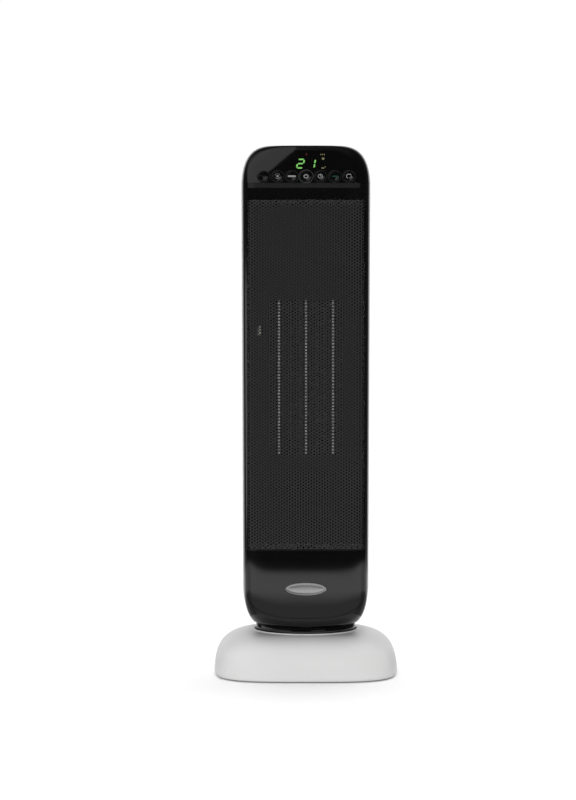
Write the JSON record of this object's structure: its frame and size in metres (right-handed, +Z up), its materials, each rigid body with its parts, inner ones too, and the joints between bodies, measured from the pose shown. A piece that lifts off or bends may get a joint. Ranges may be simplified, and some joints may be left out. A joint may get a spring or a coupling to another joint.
{
  "type": "ceramic tower heater",
  "caption": "Tall black-fronted ceramic fan heater with a perforated outlet grille, a slanted button panel and a swinging neck on a domed white base.",
  "frame": {"origin": "centre of the base at floor level, on the axis that the head swings about", "axes": "+Z up, the outlet faces -Y, +X to the right seen from the front"},
  "size_m": [0.206, 0.2089, 0.594],
  "materials": {
    "white_plastic": "satin white moulded plastic",
    "black_gloss": "high gloss black",
    "black_satin": "satin black moulded plastic",
    "grille_black": "fine perforated sheet, satin black",
    "dark_plastic": "matt dark plastic",
    "heat_plastic": "glass-filled heat resisting plastic",
    "acetal": "natural acetal",
    "aluminium": "bare rolled aluminium",
    "steel": "zinc plated steel",
    "brass": "sintered bearing metal",
    "rubber": "matt black rubber",
    "board_green": "solder resist on a circuit board",
    "filter_cloth": "woven filter net",
    "smoked_lens": "smoked display lens",
    "silver": "satin chromed trim",
    "led_green": "lit display segment",
    "led_amber": "lit display mark",
    "led_red": "lit indicator",
    "print_white": "pale printed symbol"
  },
  "bodies": {
    "base": {"base_shell": "white_plastic", "base_plate": "dark_plastic", "glide_ring": "acetal", "swing_motor": "steel", "tip_switch": "dark_plastic", "cord_gland": "rubber", "foot_front_left": "rubber", "foot_front_right": "rubber", "foot_rear_left": "rubber", "foot_rear_right": "rubber", "base_screw_1": "steel", "base_screw_2": "steel", "base_screw_3": "steel", "base_screw_4": "steel"},
    "head": {"swivel_collar": "black_satin", "sector_gear": "acetal", "retaining_ring": "steel", "collar_clamp_ring": "steel", "rear_casing": "white_plastic", "front_bezel": "black_satin", "outlet_grille": "grille_black", "chin_fascia": "black_gloss", "control_panel": "black_gloss", "badge": "silver", "air_baffle": "dark_plastic", "heater_frame": "heat_plastic", "ceramic_tube_1": "aluminium", "ceramic_tube_2": "aluminium", "ceramic_tube_3": "aluminium", "fin_pack_1": "aluminium", "fin_pack_2": "aluminium", "fin_pack_3": "aluminium", "fin_pack_4": "aluminium", "thermal_cutout": "acetal", "room_sensor": "acetal", "fan_scroll": "heat_plastic", "fan_motor": "steel", "bearing_bush": "brass", "power_board": "board_green", "control_board": "board_green", "display_module": "smoked_lens", "switch_housing": "black_satin", "head_screw_1": "steel", "head_screw_2": "steel", "head_screw_3": "steel", "head_screw_4": "steel"},
    "oscillation_pinion": {"drive_pinion": "acetal"},
    "tip_plunger_body": {"tip_plunger": "acetal"},
    "fan_wheel": {"fan_impeller": "dark_plastic", "fan_shaft": "steel"},
    "filter": {"filter_frame": "white_plastic", "filter_mesh": "filter_cloth"},
    "main_rocker": {"switch_rocker": "black_gloss"},
    "timer_button_body": {"timer_button": "black_gloss"},
    "mode_button_body": {"mode_button": "black_gloss"},
    "fan_button_body": {"fan_button": "black_gloss"},
    "power_button_body": {"power_button": "black_gloss"},
    "heat_button_body": {"heat_button": "black_gloss"},
    "eco_button_body": {"eco_button": "black_gloss"},
    "swing_button_body": {"swing_button": "black_gloss"}
  },
  "joints": [
    {"name": "head_oscillation", "type": "hinge", "parent": "base", "child": "head", "pos_m": [0, 0, 0.05], "axis": [0, 0, 1], "range_deg": [-35, 35]},
    {"name": "pinion_spin", "type": "hinge", "parent": "base", "child": "oscillation_pinion", "pos_m": [0, 0.036, 0.033], "axis": [0, 0, 1], "range_deg": [-106, 106]},
    {"name": "tip_plunger_slide", "type": "slide", "parent": "base", "child": "tip_plunger_body", "axis": [0, 0, 1], "range_m": [-0.003, 0], "stiffness_N_per_m": 60, "springref_m": -0.004},
    {"name": "fan_spin", "type": "hinge", "parent": "head", "child": "fan_wheel", "pos_m": [0, 0.008, 0.335], "axis": [0, 0, 1], "continuous": true},
    {"name": "filter_tilt", "type": "hinge", "parent": "head", "child": "filter", "pos_m": [0, 0.0684, 0.2054], "axis": [-1, 0, 0], "range_deg": [0, 30]},
    {"name": "main_switch_rock", "type": "hinge", "parent": "head", "child": "main_rocker", "pos_m": [0, 0.067, 0.122], "axis": [-1, 0, 0], "range_deg": [0, 16]},
    {"name": "timer_button_press", "type": "slide", "parent": "head", "child": "timer_button_body", "axis": [0, 0.9063, -0.4226], "range_m": [0, 0.001], "stiffness_N_per_m": 600, "springref_m": -0.0005},
    {"name": "mode_button_press", "type": "slide", "parent": "head", "child": "mode_button_body", "axis": [0, 0.9063, -0.4226], "range_m": [0, 0.001], "stiffness_N_per_m": 600, "springref_m": -0.0005},
    {"name": "fan_button_press", "type": "slide", "parent": "head", "child": "fan_button_body", "axis": [0, 0.9063, -0.4226], "range_m": [0, 0.001], "stiffness_N_per_m": 600, "springref_m": -0.0005},
    {"name": "power_button_press", "type": "slide", "parent": "head", "child": "power_button_body", "axis": [0, 0.9063, -0.4226], "range_m": [0, 0.001], "stiffness_N_per_m": 600, "springref_m": -0.0005},
    {"name": "heat_button_press", "type": "slide", "parent": "head", "child": "heat_button_body", "axis": [0, 0.9063, -0.4226], "range_m": [0, 0.001], "stiffness_N_per_m": 600, "springref_m": -0.0005},
    {"name": "eco_button_press", "type": "slide", "parent": "head", "child": "eco_button_body", "axis": [0, 0.9063, -0.4226], "range_m": [0, 0.001], "stiffness_N_per_m": 600, "springref_m": -0.0005},
    {"name": "swing_button_press", "type": "slide", "parent": "head", "child": "swing_button_body", "axis": [0, 0.9063, -0.4226], "range_m": [0, 0.001], "stiffness_N_per_m": 600, "springref_m": -0.0005}
  ],
  "couplings": [
    {"joint": "pinion_spin", "follows": "head_oscillation", "ratio": -3}
  ]
}
